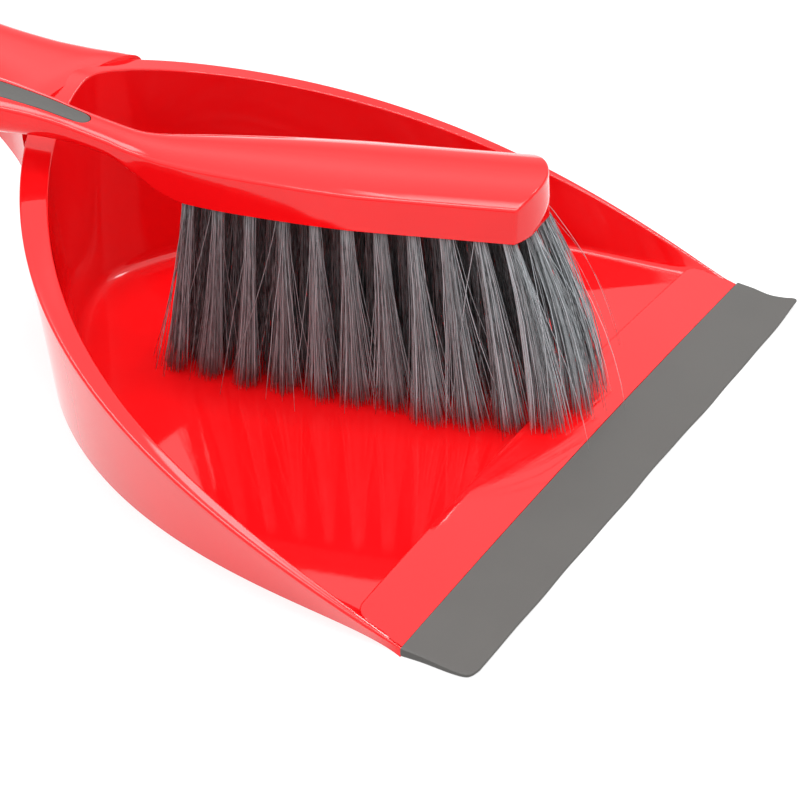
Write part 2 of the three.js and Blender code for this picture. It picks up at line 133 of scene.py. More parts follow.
FACET_FROM, FACET_TO, FACET_WIDTH, FACET_RISE = 45.0, 134.0, 4.2, 0.9
BRUSH_HANG_HOLE = (0.0, 274.0, 3.6, 1.25)
BRUSH_HOLE_LOW, BRUSH_HOLE_TOP = 60, 106.9
GRIP_FROM, GRIP_TO, GRIP_START_HALF, GRIP_END_HALF = 156.5, 262.0, 3.4, 8.4
GRIP_THICKNESS = 1.6
GRIP_PROUD, GRIP_ROUND = 0.12, 0.5

# Tufts: roots in rows along the block, tips spread from them.
EDGE_INSET = 4.5
INNER_ROW = 0.34  # share of the outer rows' distance from the middle
WIDE_ROOTS_Y = [121, 110, 98.5, 87, 76, 65, 54, 43, 32, 21.5, 12]
INNER_ROOTS_Y = [121, 110, 98.5, 87, 76, 65, 54, 43.5, 33.5, 24, 14.5]
STAGGERED_ROOTS_Y = [115.5, 104.2, 92.7, 81.5, 70.5, 59.5, 48.5, 37.5, 26.7, 16.4]
TOE_ROOTS_X = [-9.2, 0.5, 10.5]
TOE_ROOTS_FROM = 4.8  # y of the toe's roots, at its middle
STRANDS = 130  # filaments in each tuft
STRAND_RADIUS = 0.13
STRAND_STEPS = 8
STRAND_SIDES = 4
HOLE_FILL = 2.15  # radius the roots fill in their hole
ROOT_Z = 73.5  # inside the block
TIP_SPREAD, HEEL_LESS_SPREAD = 6.4, 2.4  # radius of a tuft's tips, and what it loses at the heel
TIP_FORWARD, TIP_FORWARD_SHARE, TOE_FORWARD = 17, 0.22, 4.5  # lean of the tips towards the toe
TIP_CLEAR = 0.12  # lowest a tip ends above the floor
TIP_JITTER, HEEL_LESS_JITTER, TIP_UNEVEN = 1.5, 0.5, 0.9
STRAY_SHARE, STRAY_SPREAD, STRAY_LIFT = 0.06, 6.5, 7
HEEL_FROM, HEEL_OVER, TOE_REACH = 70, 50, 34  # y where the heel's and the toe's manner set in
CRIMP_WAVES, CRIMP_SIZE = (1.0, 2.8), (0.05, 0.34)  # least and most along one strand
FLARE = 0.4  # how late a tuft's strands fan out, as a share of their spread
TIP_OUTWARD = 0.17  # how far the outer rows' tips lean outwards, as a share of their distance
TOE_BOW = 0.4  # how far the toe's strands bulge forward, as a share of their reach
TOE_OUTWARD = 0.42  # added to that towards the toe
HEEL_BOW = 0.12  # the most a strand away from the toe sags back, as a share of its reach
INNER_PAINTED_SHADE = 0.15  # painted shade of the inner rows, darker than the outer ones where little light reaches
# painted shade: strands darker towards the heel
HEEL_PAINTED_SHADE = 0.4
MIDDLE_PAINTED_SHADE, OUTSIDE_LIGHTER = 0.45, 0.55  # painted shade: grey in the middle of a tuft, and what its outside adds

# ---------------------------------------------------------------- small maths helpers


def bezier(points, t):
    """Points of a Bezier curve at every t, one row each."""
    t = np.asarray(t, float)[:, None]
    level = [np.tile(np.asarray(p, float), (len(t), 1)) for p in points]
    while len(level) > 1:
        level = [a * (1 - t) + b * t for a, b in zip(level, level[1:])]
    return level[0]


def inward(points, t):
    """Unit vectors in plan, square to the curve and towards the middle of the pan."""
    step = 1e-3
    d = bezier(points, np.minimum(t + step, 1)) - bezier(points, np.maximum(t - step, 0))
    n = np.stack([-d[:, 1], d[:, 0]], 1)
    return n / np.linalg.norm(n, axis=1)[:, None]


def shifted(points, direction, distance, z):
    """Points moved in plan along their directions, at a given height."""
    distance = np.broadcast_to(distance, len(points))
    z = np.broadcast_to(z, len(points))
    return np.column_stack([points[:, :2] + direction * distance[:, None], z])


def smooth_table(rows, y):
    """Every column of a table at each y, on smooth curves that don't overshoot."""
    rows = np.asarray(rows, float)
    x, v = rows[:, 0], rows[:, 1:]
    h = np.diff(x)[:, None]
    d = np.diff(v, axis=0) / h
    slope = np.zeros_like(v)
    same = (d[:-1] * d[1:]) > 0
    w0, w1 = 2 * h[1:] + h[:-1], h[1:] + 2 * h[:-1]
    with np.errstate(all="ignore"):
        mean = (w0 + w1) / (w0 / d[:-1] + w1 / d[1:])
    slope[1:-1] = np.where(same, mean, 0)
    slope[0], slope[-1] = d[0], d[-1]
    y = np.asarray(y, float)
    i = np.clip(np.searchsorted(x, y) - 1, 0, len(x) - 2)
    k = ((y - x[i]) / h[i, 0])[:, None]
    a = v[i] * (2 * k**3 - 3 * k**2 + 1) + v[i + 1] * (3 * k**2 - 2 * k**3)
    return a + h[i] * (slope[i] * (k**3 - 2 * k**2 + k) + slope[i + 1] * (k**3 - k**2))


def clamp(v, low=0.0, high=1.0):
    return np.minimum(np.maximum(v, low), high)


def ease(v):
    """0 to 1 with level ends."""
    v = clamp(v)
    return v * v * (3 - 2 * v)


def ramp_height(y):
    """z of the raised strip, which slopes up to the rear."""
    return RAMP_FRONT_Z + (RAMP_REAR_Z - RAMP_FRONT_Z) * y / RAMP_DEPTH


def ramp_crest(x):
    """y of the raised strip's rear edge, between its rounded corners."""
    return RAMP_DEPTH + RAMP_BOW * (1 - (x / (RAMP_HALF - RAMP_CORNER)) ** 2)


# ---------------------------------------------------------------- mesh helpers


def grid_faces(rows, cols, start=0, wrap=False):
    """Quads over a grid of points stored row by row."""
    r = np.arange(rows - 1)[:, None]
    c = np.arange(cols if wrap else cols - 1)[None, :]
    n = (c + 1) % cols
    quads = np.stack([r * cols + c, r * cols + n, (r + 1) * cols + n, (r + 1) * cols + c], -1)
    return (quads.reshape(-1, 4) + start).tolist()


class Builder:
    """Collects grids of points into one mesh."""

    def __init__(self):
        self.points = []
        self.faces = []
        self.count = 0

    def grid(self, grid, wrap=False):
        """A sheet of quads, or a tube where it wraps round."""
        rows, cols = grid.shape[:2]
        self.faces += grid_faces(rows, cols, self.count, wrap)
        self.points.append(grid.reshape(-1, 3))
        self.count += rows * cols

    def polygon(self, ring):
        """One flat face."""
        self.faces.append(list(range(self.count, self.count + len(ring))))
        self.points.append(np.asarray(ring, float))
        self.count += len(ring)

    def mesh(self, name):
        """One mesh with welded points, and faces that look outwards."""
        mesh = bpy.data.meshes.new(name)
        mesh.from_pydata((np.vstack(self.points) * MM).tolist(), [], self.faces)
        bm = bmesh.new()
        bm.from_mesh(mesh)
        bmesh.ops.remove_doubles(bm, verts=bm.verts, dist=WELD * MM)
        bmesh.ops.dissolve_degenerate(bm, edges=bm.edges, dist=WELD * MM)
        bmesh.ops.recalc_face_normals(bm, faces=bm.faces)
        bm.to_mesh(mesh)
        bm.free()
        return mesh


def add_object(name, mesh):
    obj = bpy.data.objects.new(name, mesh)
    bpy.context.scene.collection.objects.link(obj)
    return obj


def closed_loft(name, rings):
    """A closed body through rings of equal point count, with flat ends."""
    b = Builder()
    b.grid(rings, wrap=True)
    b.polygon(rings[0])
    b.polygon(rings[-1])
    return add_object(name, b.mesh(name))


def shade(obj, angle):
    """Smooth shading with sharp edges above an angle in degrees, and flat parts kept flat."""
    obj.data.shade_smooth()
    obj.data.set_sharp_from_angle(angle=math.radians(angle))
    weighted = obj.modifiers.new("weighted", "WEIGHTED_NORMAL")
    weighted.keep_sharp = True
    apply_modifiers(obj)


def apply_modifiers(obj):
    """Replaces an object's mesh by its evaluated one."""
    graph = bpy.context.evaluated_depsgraph_get()
    mesh = bpy.data.meshes.new_from_object(obj.evaluated_get(graph))
    obj.modifiers.clear()
    obj.data = mesh


def cut(obj, cutter):
    """Cuts a closed mesh with another one, and removes the cutter."""
    step = obj.modifiers.new("cut", "BOOLEAN")
    step.operation = "DIFFERENCE"
    step.object = cutter
    step.solver = "MANIFOLD"
    bpy.context.view_layer.update()
    apply_modifiers(obj)
    bpy.data.objects.remove(cutter)


def finish_piece(obj, body, slot, material, *nodes):
    """Gives a piece its material and body, and hides the CAD parts it stands for; the slot is not
    used.
    """
    obj.data.materials.clear()
    obj.data.materials.append(material)
    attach(obj, body)
    if nodes:
        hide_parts(*nodes)


def hole_rings(hole, low, high):
    """Rings of a prism in the shape of a hanging hole, with a flared mouth at its top."""
    x, y, radius, stretch = hole
    a = np.arange(HOLE_SIDES) * 2 * math.pi / HOLE_SIDES
    rings = []
    for z, wider in [(low, 0.0)] + [(high + up, wider) for up, wider in HOLE_MOUTH]:
        across = x + (radius + wider) * np.cos(a)
        along = y + (radius * stretch + wider) * np.sin(a)
        rings.append(np.column_stack([across, along, np.full(HOLE_SIDES, z)]))
    return np.stack(rings)


# ---------------------------------------------------------------- materials


def node_material(name):
    """A new material, its nodes and links, its shader, and the object's coordinates."""
    material = bpy.data.materials.new(name)
    material.use_nodes = True
    nodes = material.node_tree.nodes
    at = nodes.new("ShaderNodeTexCoord").outputs["Object"]
    return material, nodes, material.node_tree.links, nodes["Principled BSDF"], at


def noise(nodes, links, vector, scale, detail, roughness=0.5):
    """A mottled value around one half."""
    n = nodes.new("ShaderNodeTexNoise")
    n.inputs["Scale"].default_value = scale
    n.inputs["Detail"].default_value = detail
    n.inputs["Roughness"].default_value = roughness
    links.new(vector, n.inputs["Vector"])
    return n.outputs["Fac"]


def mapped(nodes, links, value, source, target, interpolation="LINEAR"):
    """A value carried from one range to another, and held at both ends."""
    m = nodes.new("ShaderNodeMapRange")
    m.interpolation_type = interpolation
    for socket, number in zip(("From Min", "From Max", "To Min", "To Max"), source + target):
        m.inputs[socket].default_value = number
    links.new(value, m.inputs["Value"])
    return m.outputs["Result"]


def colour_mix(nodes, links, factor, a, b):
    """Between two colours, each one a fixed tuple or another node's output."""
    m = nodes.new("ShaderNodeMix")
    m.data_type = "RGBA"
    links.new(factor, m.inputs["Factor"])
    for socket, value in (("A", a), ("B", b)):
        target = [i for i in m.inputs if i.name == socket and i.type == "RGBA"][0]
        if isinstance(value, tuple):
            target.default_value = value
        else:
            links.new(value, target)
    return [o for o in m.outputs if o.type == "RGBA"][0]


def bump(nodes, links, height, strength, distance, normal=None):
    """A normal that follows a height, on top of another bump where one is given."""
    b = nodes.new("ShaderNodeBump")
    b.inputs["Strength"].default_value = strength
    b.inputs["Distance"].default_value = distance
    links.new(height, b.inputs["Height"])
    if normal is not None:
        links.new(normal, b.inputs["Normal"])
    return b.outputs["Normal"]


# Pairs of linear colours that each material mixes, and the range of its roughness.
RED_COLOURS = (0.71, 0.0034, 0.0051, 1), (0.77, 0.0044, 0.0066, 1)
RED_ROUGHNESS = (0.025, 0.065)
RED_IOR = 1.49
RUBBER_COLOURS = (0.059, 0.0555, 0.052, 1), (0.070, 0.066, 0.062, 1)
RUBBER_ROUGHNESS = (0.52, 0.66)
RUBBER_IOR = 1.5
FIBRE_COLOURS = (0.010, 0.010, 0.011, 1), (0.54, 0.57, 0.60, 1)
FIBRE_WORN, FIBRE_WEAR = (0.56, 0.58, 0.60, 1), 0.35
FIBRE_ROUGHNESS = (0.26, 0.42)
FIBRE_GRAIN = (1.0, 1.0, 0.12)  # scale of the streaks, long in the direction of the strands


def red_plastic():
    """Glossy moulded polypropylene: faint flow marks, fine scuffs and a very slight ripple."""
    material, nodes, links, shader, at = node_material("red_gloss_plastic")
    flow = noise(nodes, links, at, scale=18.0, detail=4.0)
    scuff = noise(nodes, links, at, scale=900.0, detail=6.0, roughness=0.65)
    swell = noise(nodes, links, at, scale=40.0, detail=2.0)
    share = mapped(nodes, links, flow, (0.35, 0.65), (0.0, 1.0))
    links.new(colour_mix(nodes, links, share, *RED_COLOURS), shader.inputs["Base Color"])
    links.new(mapped(nodes, links, scuff, (0.3, 0.75), RED_ROUGHNESS), shader.inputs["Roughness"])
    ripple = bump(nodes, links, swell, strength=0.03, distance=0.0004)
    fine = bump(nodes, links, scuff, strength=0.012, distance=0.0002, normal=ripple)
    links.new(fine, shader.inputs["Normal"])
    shader.inputs["IOR"].default_value = RED_IOR
    return material


def grey_rubber():
    """Matt thermoplastic rubber with a fine grain, slightly mottled and dusty."""
    material, nodes, links, shader, at = node_material("grey_soft_rubber")
    mottle = noise(nodes, links, at, scale=45.0, detail=5.0, roughness=0.6)
    grain = noise(nodes, links, at, scale=2600.0, detail=3.0, roughness=0.6)
    share = mapped(nodes, links, mottle, (0.3, 0.7), (0.0, 1.0))
    links.new(colour_mix(nodes, links, share, *RUBBER_COLOURS), shader.inputs["Base Color"])
    rough = mapped(nodes, links, mottle, (0.3, 0.7), RUBBER_ROUGHNESS)
    links.new(rough, shader.inputs["Roughness"])
    soft = bump(nodes, links, mottle, strength=0.12, distance=0.0008)
    fine = bump(nodes, links, grain, strength=0.25, distance=0.0002, normal=soft)
    links.new(fine, shader.inputs["Normal"])
    shader.inputs["IOR"].default_value = RUBBER_IOR
    return material


def bristle_fibre():
    """Dyed synthetic filament: every strand has its own grey, darkened by painted shade, and fine
    streaks along it.
    """
    material, nodes, links, shader, at = node_material("dark_bristle_fibre")
    # the strand attribute holds each strand's random grey times painted shade of inner rows, tuft
    # middles and heel
    own = nodes.new("ShaderNodeAttribute")
    own.attribute_name = "strand"
    stretch = nodes.new("ShaderNodeMapping")
    stretch.inputs["Scale"].default_value = FIBRE_GRAIN
    links.new(at, stretch.inputs["Vector"])
    streak = noise(nodes, links, stretch.outputs["Vector"], scale=1500.0, detail=2.0)
    dyed_and_painted_shade = colour_mix(nodes, links, own.outputs["Fac"], *FIBRE_COLOURS)
    wear = mapped(nodes, links, streak, (0.35, 0.7), (0.0, FIBRE_WEAR))
    links.new(colour_mix(nodes, links, wear, dyed_and_painted_shade, FIBRE_WORN), shader.inputs["Base Color"])
    rough = mapped(nodes, links, streak, (0.3, 0.7), FIBRE_ROUGHNESS)
    links.new(rough, shader.inputs["Roughness"])
    fine = bump(nodes, links, streak, strength=0.2, distance=0.0001)
    links.new(fine, shader.inputs["Normal"])
    return material


RED = red_plastic()
RUBBER = grey_rubber()
FIBRE = bristle_fibre()

# ---------------------------------------------------------------- pan shell


def pan_profiles(t):
    """The pan's upper and lower surfaces from its base edge inwards, for the right-hand half.

    Both have the same number of points at each step t, so that the open front can be closed.
    """
    base, rim = bezier(BASE_CURVE, t), bezier(RIM_CURVE, t)
    base_in, rim_in = inward(BASE_CURVE, t), inward(RIM_CURVE, t)
    flange = bezier(FLANGE_WIDTH, t)[:, 0]
    rim_z = rim[:, 2]
    floor_z = np.minimum(FLOOR_TOP, rim_z - 0.06)  # the rim starts below the floor, at the lip
    inset = FOOT_INSET + FOOT_INSET_SHARE * flange
    outer_round = np.minimum(RIM_ROUND, 0.45 * flange)
    inner_round = np.minimum(INNER_ROUND, 0.5 * flange)
    tilt = FLANGE_TILT * flange * ease(t / TILT_IN) * ease((TILT_END - t) / TILT_OUT)

    foot = shifted(base, base_in, inset, floor_z)
    brink = shifted(rim, rim_in, flange, rim_z + tilt)
    rearwards = ease((t - 0.5) / 0.35)
    foot_radius = FOOT_RADIUS_SIDE + (FOOT_RADIUS_REAR - FOOT_RADIUS_SIDE) * rearwards
    radius = np.minimum(foot_radius, 0.7 * (rim_z - floor_z))
    on_floor = shifted(foot, base_in, radius, floor_z)
    on_wall = foot + (brink - foot) * (radius / (rim_z - floor_z))[:, None]
    down = (foot - brink) / np.linalg.norm(foot - brink, axis=1)[:, None]
    wall_top = brink + down * inner_round[:, None]
    end_z = rim_z + tilt * (1 - inner_round / flange)
    flange_end = shifted(rim, rim_in, flange - inner_round, end_z)

    top = [base]
    shoulder = shifted(rim, rim_in, 0, rim_z - outer_round)
    top += [base + (shoulder - base) * k for k in (0.03, 0.2, 0.4, 0.6, 0.8, 0.95)]
    for a in np.radians([0, 18, 36, 54, 72, 90]):
        turned_in, turned_down = outer_round * (1 - math.cos(a)), outer_round * (1 - math.sin(a))
        top.append(shifted(rim, rim_in, turned_in, rim_z - turned_down))
    outer = top[-1]
    for k in (0.2, 0.4, 0.6, 0.8):
        dished = outer + (flange_end - outer) * k
        dished[:, 2] = outer[:, 2] + (flange_end - outer)[:, 2] * k**2
        top.append(dished)
    for k in (0, 0.25, 0.5, 0.75, 1):
        top.append(flange_end * (1 - k) ** 2 + brink * 2 * k * (1 - k) + wall_top * k**2)
    top += [wall_top + (on_wall - wall_top) * k for k in (0.25, 0.5, 0.75)]
    for k in np.linspace(0, 1, 11):
        top.append(on_wall * (1 - k) ** 2 + foot * 2 * k * (1 - k) + on_floor * k**2)

    # Below: the skirt's foot, up its inside, across under the rim, down to the floor's underside.
    hollow = ease((flange - HOLLOW_FROM) / HOLLOW_EASE)[:, None]
    under_z = FLOOR_UNDER * ease((base[:, 1] - FRONT_PAD_DEPTH + 0.4) / 0.8)
    roof_z = rim_z - WALL
    low_out = shifted(base, base_in, WALL, 0)
    low_in = shifted(base, base_in, np.maximum(inset - WALL, WALL + 1), 0)
    roof_out = shifted(rim, rim_in, WALL, roof_z)
    roof_in = shifted(rim, rim_in, np.maximum(flange - WALL, WALL + 1), roof_z)
    under_end = shifted(on_floor, base_in, 0.5, under_z)
    path = [low_out + (roof_out - low_out) * k for k in np.linspace(0.02, 1, 9)]
    path += [roof_out + (roof_in - roof_out) * k for k in (0.33, 0.67)]
    path += [roof_in + (low_in - roof_in) * k for k in np.linspace(0, 1, 9)]
    path[-1] = np.column_stack([path[-1][:, :2], under_z])
    spare = len(top) - 2 - len(path)
    path += [path[-1] + (under_end - path[-1]) * (k + 1) / spare for k in range(spare)]
    bottom = [base, shifted(base, base_in, SKIRT_FOOT, 0)]
    for n, point in enumerate(path):
        flat = low_out + (under_end - low_out) * n / (len(path) - 1)
        level = np.column_stack([flat[:, :2], under_z])
        bottom.append(level + (point - level) * hollow)
    return np.stack(top, 1), np.stack(bottom, 1)


def mirrored_columns(half):
    """Half columns, lip to rear middle, into whole columns from the left lip to the right one."""
    left = half * np.array([-1, 1, 1])
    return np.concatenate([left, half[:-1][::-1]])


def front_line(x):
    """y of the slightly bowed line where the red plastic ends and the rubber begins."""
    return FRONT_BOW * clamp(1 - (x / FRONT_HALF) ** 2)


def bowed_front(points):
    """Moves the front edge back to its bowed line, and what is behind it by less."""
    x, y = points[..., 0], points[..., 1]
    bow = GAP + front_line(x)
    points[..., 1] = y + bow * clamp(1 - y / BOW_DEPTH)
    return points


def pan_shell():
    """Floor, walls, rim and skirt in one skin, with its points closest together at the front."""
    dense = 0.16
    front = np.linspace(0, 1, 27)[:-1] ** 1.4 * dense
    t = np.concatenate([front, np.linspace(dense, 1, 96)])
    top, bottom = (mirrored_columns(p) for p in pan_profiles(t))
    across = np.linspace(0, 1, 41)[None, :, None]
    half = len(t)
    floors = []
    for side in (top, bottom):
        left, right = side[:half, -1], side[::-1][:half, -1]
        floors.append(left[:, None] + (right - left)[:, None] * across)
    b = Builder()
    for side, floor in zip((top, bottom), floors):
        b.grid(bowed_front(side.copy()))
        b.grid(bowed_front(floor.copy()))
    edges = [
        np.concatenate([side[0], floor[0][1:-1], side[-1][::-1]])
        for side, floor in zip((top, bottom), floors)
    ]
    b.grid(bowed_front(np.stack(edges)))
    return add_object("pan_shell", b.mesh("pan_shell"))


def pan_ramp():
    """The raised strip across the front of the floor, with a rounded crest."""
    edge = RAMP_ROUND
    corner = np.radians(np.linspace(0, 80, 14))
    end = RAMP_HALF - RAMP_CORNER + RAMP_CORNER * np.cos(corner)
    middle = np.linspace(-1, 1, 61)[1:-1] * (end[-1] - 0.5)
    x = np.concatenate([-end, middle, end[::-1]])
    over = clamp(np.abs(x) - (RAMP_HALF - RAMP_CORNER), 0, RAMP_CORNER)
    turned = RAMP_DEPTH - RAMP_CORNER + np.sqrt(RAMP_CORNER**2 - over**2)
    rear = np.where(over > 0, turned, ramp_crest(x))
    front = GAP + front_line(x) + 0.02
    low = np.full_like(x, FLOOR_UNDER + 0.2)
    rows = [(front, low), (front, ramp_height(front))]
    rows += [(front + (rear - edge - front) * k, None) for k in (0.02, 0.3, 0.6, 0.9, 1)]
    for a in np.radians([20, 40, 60, 80]):
        y = rear - edge + edge * math.sin(a)
        rows.append((y, ramp_height(y) - edge * (1 - math.cos(a)) * 1.2))
    rows += [(rear, ramp_height(rear) - 1.4), (rear, low)]
    grid = np.stack([np.column_stack([x, y, ramp_height(y) if z is None else z]) for y, z in rows])
    # The strip's front corners widen a little, to meet the walls where they start.
    near_front = clamp((11.5 - grid[..., 1]) / 6)
    near_end = clamp((np.abs(grid[..., 0]) - 100) / 15)
    grid[..., 0] *= 1 + 0.0125 * near_front * near_end
    b = Builder()
    b.grid(grid)
    b.grid(np.stack([grid[0], grid[-1]]))
    for side in (0, -1):
        b.polygon(grid[:, side])
    return add_object("pan_ramp", b.mesh("pan_ramp"))


def handle_section(row, inset, low):
    """Half of the pan handle's arched section, from its foot on the right to the top middle."""
    half, top, _, arch = row
    a = np.radians(np.linspace(0, 90, 19))
    w, top = half - inset, top - inset
    x = np.concatenate([[w - 0.8, w - 0.5, w - 0.2], w * np.cos(a) ** 0.75])
    z_arch = top - arch + arch * np.sin(a) ** 0.85
    z = np.concatenate([low + (z_arch[0] - low) * np.array([0, 0.35, 0.7]), z_arch])
    return np.column_stack([x, z])


def handle_rings(ys, inset, low):
    """Rings of the handle, down to its own foot or to a given height."""
    rings = []
    for y, row in zip(ys, smooth_table(PAN_HANDLE, ys)):
        half = handle_section(row, inset, row[1] - row[2] if low is None else low)
        whole = np.concatenate([half, half[:-1][::-1] * [-1, 1]])
        rings.append(np.column_stack([whole[:, 0], np.full(len(whole), y), whole[:, 1]]))
    return np.stack(rings)


def pan_handle():
    """The arched grip behind the pan, hollow from below, with its hanging hole."""
    bend = np.linspace(0, math.pi / 2, 12)[1:]
    ys = np.concatenate([np.linspace(208, 325, 60), 325 + 9 * np.sin(bend)])
    handle = closed_loft("pan_handle", handle_rings(ys, 0, None))
    inner_ys = np.concatenate([np.linspace(220, 325, 54), 325 + 6.6 * np.sin(bend)])
    below_all = 40.0
    cut(handle, closed_loft("handle_hollow", handle_rings(inner_ys, PAN_SKIN, below_all)))
    hole = hole_rings(PAN_HANG_HOLE, PAN_HOLE_LOW, PAN_HOLE_TOP)
    cut(handle, closed_loft("hang_cutter", hole))
    return handle


# ---------------------------------------------------------------- rubber lip


def border(grid):
    """The outline of a grid of points, once round."""
    return np.concatenate([grid[0], grid[1:-1, -1], grid[-1][::-1], grid[1:-1, 0][::-1]])


def pan_lip():
    """The soft lip: a thin wedge with rounded edges, and a slight wave along its free edge."""
    columns, rows = 260, 34
    out = np.linspace(0, 1, rows)
    out = LIP_DEPTH * (1 - (1 - out) ** 1.5)
    left, right = smooth_table(LIP_LEFT_END, out), smooth_table(LIP_RIGHT_END, out)
    u = np.linspace(0, 1, columns)
    x = left + (right - left) * u
    v = out[:, None] / LIP_DEPTH
    rear = GAP - 0.02 + front_line(x)
    # Cut unevenly along the free edge, which lifts a little and most at its right-hand end.
    wave = 0.4 * np.sin(x / 46 + 2.9) + 0.12 * np.sin(x / 9.5 + 0.7) + 0.08 * np.sin(x / 4.7 + 2.1)
    y = rear * (1 - v) - out[:, None] + v**2 * wave
    curl = 0.9 * np.exp(-((x - 122) / 9) ** 2) + 0.25 * (1 + np.sin(x / 17 + 1.0))
    lift = v**2.5 * curl
    top = LIP_REAR_Z + (LIP_FRONT_Z - LIP_REAR_Z) * v**0.9 + lift
    foot = 0.02 + lift

    def layer(inset, share):
        middle = -LIP_DEPTH / 2
        drawn_in = np.where(y < middle, 1 - 2 * inset / LIP_DEPTH, 1)
        across = x * (1 - inset / (FRONT_HALF + 1))
        along = middle + (y - middle) * drawn_in
        return np.stack([across, along, foot + (top - foot) * share], -1)

    edge = [(0.3, 1.0), (0.08, 0.88), (0, 0.62), (0, 0.38), (0.08, 0.12), (0.3, 0)]
    layers = [layer(inset, share) for inset, share in edge]
    b = Builder()
    b.grid(layers[0])
    b.grid(layers[-1])
    b.grid(np.stack([border(each) for each in layers]), wrap=True)
    return add_object("lip_rubber", b.mesh("lip_rubber"))


# ---------------------------------------------------------------- brush body


def brush_section(row, y, shrink=0.0):
    """Right half of a section, from the middle of the underside up to the middle of the top."""
    half, edge_z, bottom_z, side = row
    half, edge_z, bottom_z = half - shrink, edge_z - shrink, bottom_z + shrink
    side_low = max(edge_z - side + shrink, bottom_z + 0.9)
    roundness = float(ease((side_low - bottom_z - 1.0) / 3.0))
    square = UNDER_SQUARE + ROUND_MORE * roundness
    a = np.radians([0, 10, 20, 32, 44, 55, 64, 72, 79, 85, 90])
    under_x = half * np.sin(a) ** square
    under_z = side_low - (side_low - bottom_z) * np.cos(a) ** square
    facet = math.sin(math.pi * min(max((y - FACET_FROM) / (FACET_TO - FACET_FROM), 0), 1))
    soft = min(EDGE_ROUND, 0.2 * half)
    crease_x = half - 0.5 - soft * 0.9 - (FACET_WIDTH - 1.4) * facet
    crease_z = edge_z + 0.25 + FACET_RISE * facet
    top_z = edge_z + 0.2 + BRUSH_CROWN * half / BLOCK_HALF
    rise = np.linspace(0, 1, 5)[1:-1]
    side_z = side_low + (edge_z - soft - side_low) * rise
    turn = np.radians([0, 15, 30, 45, 60, 75, 90])
    turn_x = half - soft + soft * np.cos(turn)
    turn_z = edge_z - soft + soft * np.sin(turn)
    span = np.array([0.25, 0.5, 0.75, 0.93])
    flat_x = turn_x[-1] + (crease_x - turn_x[-1]) * span
    flat_z = turn_z[-1] + (crease_z - turn_z[-1]) * span
    s = np.linspace(1, 0, CROWN_STEPS)
    crown_x = crease_x * s
    crown_z = crease_z + (top_z - crease_z) * (1 - s**CROWN_POWER)
    side_x = np.full(3, half)
    x = np.concatenate([under_x, side_x, turn_x, flat_x, crown_x])
    z = np.concatenate([under_z, side_z, turn_z, flat_z, crown_z])
    level = clamp((z - bottom_z) / (edge_z - bottom_z))
    return x - SIDE_DRAFT * min(half / BLOCK_HALF, 1) * level, z


def brush_ring(row, y, shrink=0.0):
    """A whole section of the brush, once round."""
    x, z = brush_section(row, y, shrink)
    x = np.concatenate([x, -x[1:-1][::-1]])
    z = np.concatenate([z, z[1:-1][::-1]])
    return np.column_stack([x, np.full(len(x), y), z])


def toe_curve(points):
    """Bows the toe forward in its middle, and gives its face a little draft."""
    x, y, z = points[..., 0], points[..., 1], points[..., 2]
    side = (x / TOE_HALF) ** 2
    level = clamp((z - BLOCK_BOTTOM) / BLOCK_HEIGHT)
    draft = TOE_DRAFT * (1 - 0.6 * side) * level * clamp(1 - y / 16)
    points[..., 1] = y + TOE_BULGE * side * clamp(1 - y / 42) ** 2 + draft
    return points


def in_pan(points):
    """Brush coordinates into the pan's frame."""
    c, s = math.cos(BRUSH_TURN), math.sin(BRUSH_TURN)
    x, y = points[..., 0], points[..., 1]
    out = np.array(points, float)
    out[..., 0] = BRUSH_AT[0] + x * c - y * s
    out[..., 1] = BRUSH_AT[1] + x * s + y * c
    return out


def shrunk(ring, share):
    """A section drawn in towards its middle, for the rings of a curved end face."""
    middle = (ring.max(0) + ring.min(0)) / 2
    out = middle + (ring - middle) * share
    out[:, 1] = ring[:, 1]
    return out


def brush_shell():
    """Block, neck and handle in one skin, with rounded edges round the toe's curved face."""
    bevel = 0.9
    first = smooth_table(BRUSH_STATIONS, [0])[0]
    edge = [brush_ring(first, bevel * (1 - math.cos(a)), bevel * (1 - math.sin(a)))
            for a in np.radians([0, 15, 30, 45, 60, 75, 90])]
    face = [shrunk(edge[0], share) for share in np.linspace(0.03, 1, 16)[:-1]]
    heel = 278 + 10 * np.sin(np.linspace(0.1, 1.57, 14))
    ys = np.concatenate([np.linspace(2, 150, 110), np.linspace(152, 278, 74), heel])
    along = [brush_ring(row, y) for y, row in zip(ys, smooth_table(BRUSH_STATIONS, ys))]
    end = [shrunk(along[-1], share) for share in (0.7, 0.35, 0.05)]
    rings = np.stack(face + edge + along + end)
    return closed_loft("brush_shell", in_pan(toe_curve(rings)))


def skin_top(x, y):
    """Height of the brush's top at points of its plan."""
    rows = smooth_table(BRUSH_STATIONS, np.ravel(y))
    out = []
    for px, py, row in zip(np.ravel(x), np.ravel(y), rows):
        sx, sz = brush_section(row, py)
        crown_x, crown_z = sx[-CROWN_STEPS:][::-1], sz[-CROWN_STEPS:][::-1]
        out.append(np.interp(abs(px), crown_x, crown_z))
    return np.array(out).reshape(np.shape(x))


def grip_plan(grow):
    """A grid over the inlay's plan shape, which is round at both ends."""
    along, across = 61, 15
    near, far = GRIP_FROM + GRIP_START_HALF, GRIP_TO - GRIP_END_HALF
    s = np.linspace(0, 1, along)
    ys = GRIP_FROM - grow + (GRIP_TO - GRIP_FROM + 2 * grow) * (1 - np.cos(math.pi * s)) / 2
    half_at = []
    for y in ys:
        k = (y - GRIP_FROM) / (GRIP_TO - GRIP_FROM)
        half = GRIP_START_HALF + (GRIP_END_HALF - GRIP_START_HALF) * k + grow
        for beyond, end_half in ((near - y, GRIP_START_HALF), (y - far, GRIP_END_HALF)):
            if beyond > 0:
                r = end_half + grow
                half = min(half, math.sqrt(max(0.02, r * r - beyond**2)))
        half_at.append(half)
    x = np.array(half_at)[:, None] * np.linspace(-1, 1, across)[None, :]
    return x, np.repeat(ys[:, None], across, 1)


